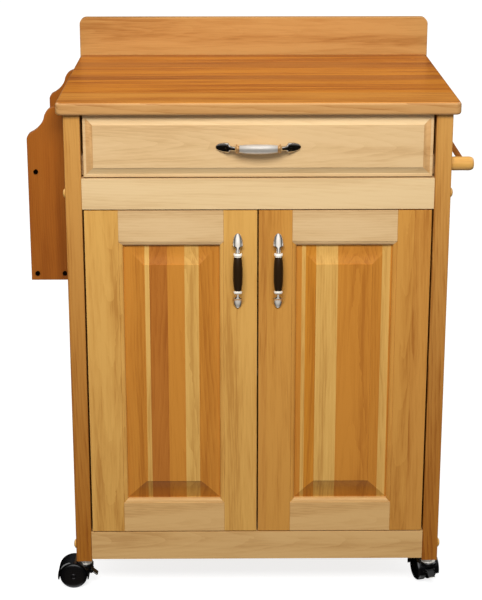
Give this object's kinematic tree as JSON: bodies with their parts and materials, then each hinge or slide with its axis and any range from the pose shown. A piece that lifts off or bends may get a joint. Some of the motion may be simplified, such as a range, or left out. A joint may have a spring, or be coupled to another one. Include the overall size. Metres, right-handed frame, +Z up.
{
  "type": "butcher block kitchen table",
  "caption": "Rolling wooden kitchen cabinet with a butcher block worktop and backsplash, a drawer over paired doors, a side rack, a towel bar and swivel casters.",
  "frame": {"origin": "on the floor, under the centre of the bounding box", "axes": "+Z up, +Y towards the backsplash, the drawer and doors face -Y, +X towards the towel bar"},
  "size_m": [0.766, 0.524, 0.978],
  "materials": {
    "worktop_wood": "satin oiled",
    "splash_wood": "satin oiled",
    "leg_wood": "satin varnish",
    "pale_wood": "satin varnish",
    "inner_wood": "satin varnish",
    "thin_board": "matte",
    "door_wood": "satin varnish",
    "panel_wood": "satin varnish",
    "rack_wood": "satin varnish",
    "steel": "zinc plated",
    "bright_metal": "polished",
    "catch_plastic": "matte",
    "caster_plastic": "gloss",
    "caster_wheel": "satin"
  },
  "bodies": {
    "cabinet": {"back_panel": "thin_board", "backsplash": "splash_wood", "barrel_nuts": "steel", "bottom_rail": "pale_wood", "cabinet_floor": "inner_wood", "caster_sockets": "steel", "door_catches": "catch_plastic", "door_pins": "steel", "drawer_runners": "inner_wood", "leg_bolts": "steel", "leg_front_left": "leg_wood", "leg_front_right": "leg_wood", "leg_plugs": "rack_wood", "leg_rear_left": "leg_wood", "leg_rear_right": "leg_wood", "middle_rail": "pale_wood", "rack_end_front": "rack_wood", "rack_end_rear": "rack_wood", "rack_guard_rail": "rack_wood", "rack_shelf": "rack_wood", "rear_rails": "inner_wood", "shelf": "inner_wood", "shelf_pins": "steel", "side_panel_left": "inner_wood", "side_panel_right": "inner_wood", "towel_arms": "rack_wood", "towel_rail": "rack_wood", "wood_screws": "steel", "worktop": "worktop_wood"},
    "drawer": {"drawer_back": "inner_wood", "drawer_bottom": "thin_board", "drawer_front": "pale_wood", "drawer_pull": "bright_metal", "drawer_pull_screws": "steel", "drawer_side_left": "inner_wood", "drawer_side_right": "inner_wood"},
    "left_door": {"left_door_hinge_stile": "door_wood", "left_door_meeting_stile": "door_wood", "left_door_panel": "panel_wood", "left_door_pull": "bright_metal", "left_door_pull_screws": "steel", "left_door_rails": "door_wood", "left_door_strike": "steel"},
    "right_door": {"right_door_hinge_stile": "door_wood", "right_door_meeting_stile": "door_wood", "right_door_panel": "panel_wood", "right_door_pull": "bright_metal", "right_door_pull_screws": "steel", "right_door_rails": "door_wood", "right_door_strike": "steel"},
    "caster_front_left": {"caster_front_left_hood": "caster_plastic"},
    "wheels_front_left": {"caster_front_left_wheels": "caster_wheel"},
    "brake_front_left": {"caster_front_left_brake": "bright_metal"},
    "caster_front_right": {"caster_front_right_hood": "caster_plastic"},
    "wheels_front_right": {"caster_front_right_wheels": "caster_wheel"},
    "brake_front_right": {"caster_front_right_brake": "bright_metal"},
    "caster_rear_left": {"caster_rear_left_hood": "caster_plastic"},
    "wheels_rear_left": {"caster_rear_left_wheels": "caster_wheel"},
    "caster_rear_right": {"caster_rear_right_hood": "caster_plastic"},
    "wheels_rear_right": {"caster_rear_right_wheels": "caster_wheel"}
  },
  "joints": [
    {"name": "drawer_slide", "type": "slide", "parent": "cabinet", "child": "drawer", "axis": [0, -1, 0], "range_m": [0, 0.3]},
    {"name": "left_door_hinge", "type": "hinge", "parent": "cabinet", "child": "left_door", "pos_m": [-0.272, -0.228, 0.416], "axis": [0, 0, -1], "range_deg": [0, 110]},
    {"name": "right_door_hinge", "type": "hinge", "parent": "cabinet", "child": "right_door", "pos_m": [0.302, -0.228, 0.416], "axis": [0, 0, 1], "range_deg": [0, 110]},
    {"name": "front_left_swivel", "type": "hinge", "parent": "cabinet", "child": "caster_front_left", "pos_m": [-0.299, -0.214, 0.05], "axis": [0, 0, 1], "continuous": true},
    {"name": "front_left_wheel_spin", "type": "hinge", "parent": "caster_front_left", "child": "wheels_front_left", "pos_m": [-0.32, -0.214, 0.025], "axis": [0, -1, 0], "continuous": true},
    {"name": "front_left_brake_press", "type": "hinge", "parent": "caster_front_left", "child": "brake_front_left", "pos_m": [-0.28849, -0.214, 0.03056], "axis": [0, 1, 0], "range_deg": [0, 20]},
    {"name": "front_right_swivel", "type": "hinge", "parent": "cabinet", "child": "caster_front_right", "pos_m": [0.329, -0.214, 0.05], "axis": [0, 0, 1], "continuous": true},
    {"name": "front_right_wheel_spin", "type": "hinge", "parent": "caster_front_right", "child": "wheels_front_right", "pos_m": [0.32356, -0.19372, 0.025], "axis": [-0.9659, -0.2588, 0], "continuous": true},
    {"name": "front_right_brake_press", "type": "hinge", "parent": "caster_front_right", "child": "brake_front_right", "pos_m": [0.33172, -0.22416, 0.03056], "axis": [0.9659, 0.2588, 0], "range_deg": [0, 20]},
    {"name": "rear_left_swivel", "type": "hinge", "parent": "cabinet", "child": "caster_rear_left", "pos_m": [-0.299, 0.211, 0.05], "axis": [0, 0, 1], "continuous": true},
    {"name": "rear_left_wheel_spin", "type": "hinge", "parent": "caster_rear_left", "child": "wheels_rear_left", "pos_m": [-0.28081, 0.2215, 0.025], "axis": [-0.5, 0.866, 0], "continuous": true},
    {"name": "rear_right_swivel", "type": "hinge", "parent": "cabinet", "child": "caster_rear_right", "pos_m": [0.329, 0.211, 0.05], "axis": [0, 0, 1], "continuous": true},
    {"name": "rear_right_wheel_spin", "type": "hinge", "parent": "caster_rear_right", "child": "wheels_rear_right", "pos_m": [0.31081, 0.2215, 0.025], "axis": [-0.5, -0.866, 0], "continuous": true}
  ]
}
